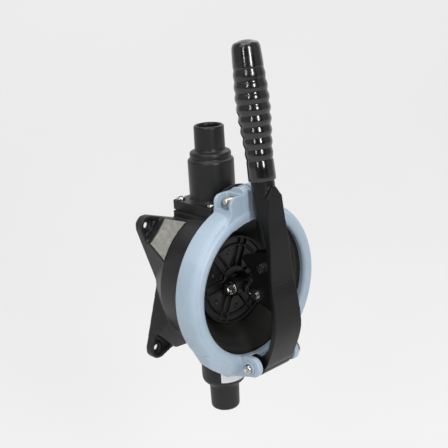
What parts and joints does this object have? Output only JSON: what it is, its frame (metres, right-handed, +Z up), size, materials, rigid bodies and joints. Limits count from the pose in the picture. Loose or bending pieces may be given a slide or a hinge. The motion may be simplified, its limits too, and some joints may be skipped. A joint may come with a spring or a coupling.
{
  "type": "manual diaphragm bilge pump",
  "caption": "Hand-operated diaphragm bilge pump for a bulkhead, with a round body, split clamp ring, ribbed grip on a curved lever, and stepped hose tails above and below.",
  "frame": {"origin": "middle of the flat mounting face at the pump's back", "axes": "+X across the pump to the right seen from the front, +Y into the bulkhead, +Z up towards the outlet tail and grip"},
  "size_m": [0.1452, 0.1105, 0.329],
  "materials": {
    "body_plastic": "black glass-filled plastic, satin",
    "lever_plastic": "black moulded plastic, fine satin grain",
    "plate_plastic": "black moulded plastic, satin",
    "ring_plastic": "pale blue-grey moulded plastic, satin",
    "vinyl": "glossy black dipped vinyl",
    "rubber": "matte black rubber",
    "nylon": "off-white nylon",
    "steel": "bright stainless steel",
    "brass": "pale yellow passivated metal",
    "foil": "dull printed foil, left blank",
    "paper": "white paper label, left blank"
  },
  "bodies": {
    "housing": {"pump_body": "body_plastic", "outlet_tail": "body_plastic", "outlet_gasket": "rubber", "flange_screw_1": "steel", "flange_screw_2": "steel", "flange_screw_3": "steel", "flange_screw_4": "steel", "inlet_seat": "nylon", "clamp_ring": "ring_plastic", "clamp_bolt": "brass", "clamp_nut": "brass", "clamp_washer": "steel", "diaphragm": "rubber", "hinge_pin": "steel", "hinge_washer_left": "steel", "hinge_washer_right": "steel", "hinge_nut": "steel", "rating_plate": "foil", "tail_label": "paper"},
    "lever": {"lever": "lever_plastic", "handle_rod": "steel", "rod_pin": "steel", "grip": "vinyl", "hinge_bush_left": "nylon", "hinge_bush_right": "nylon", "link_pin": "steel", "link_pin_clip": "steel", "rib_bolt": "steel", "rib_nut": "steel"},
    "link": {"link_inner_eye": "plate_plastic", "link_outer_eye": "plate_plastic", "link_stud": "steel", "link_lock_nut": "steel"},
    "plate": {"diaphragm_front_plate": "plate_plastic", "diaphragm_rear_plate": "plate_plastic", "centre_bolt": "steel", "centre_nut": "steel", "plate_pin": "steel", "plate_pin_washer": "steel", "plate_pin_nut": "steel"},
    "inlet_flap": {"inlet_flap": "rubber", "inlet_flap_weight": "steel"},
    "outlet_flap": {"outlet_flap": "rubber", "outlet_flap_weight": "steel"}
  },
  "joints": [
    {"name": "lever_swing", "type": "hinge", "parent": "housing", "child": "lever", "pos_m": [0, -0.0875, -0.0617], "axis": [1, 0, 0], "range_deg": [0, 24]},
    {"name": "link_swing", "type": "hinge", "parent": "lever", "child": "link", "pos_m": [0, -0.084, -0.0025], "axis": [1, 0, 0], "range_deg": [-19, 1]},
    {"name": "diaphragm_stroke", "type": "slide", "parent": "housing", "child": "plate", "axis": [0, 1, 0], "range_m": [-0.0255, 0.0005], "deforming": ["diaphragm"]},
    {"name": "inlet_flap_lift", "type": "hinge", "parent": "housing", "child": "inlet_flap", "pos_m": [0, -0.0141, -0.0567], "axis": [-1, 0, 0], "range_deg": [0, 38]},
    {"name": "outlet_flap_lift", "type": "hinge", "parent": "housing", "child": "outlet_flap", "pos_m": [0, -0.0141, 0.0613], "axis": [-1, 0, 0], "range_deg": [0, 38]}
  ],
  "couplings": [
    {"joint": "link_swing", "follows": "lever_swing", "ratio": -0.75},
    {"joint": "diaphragm_stroke", "follows": "lever_swing", "m_per_rad": -0.0588}
  ]
}
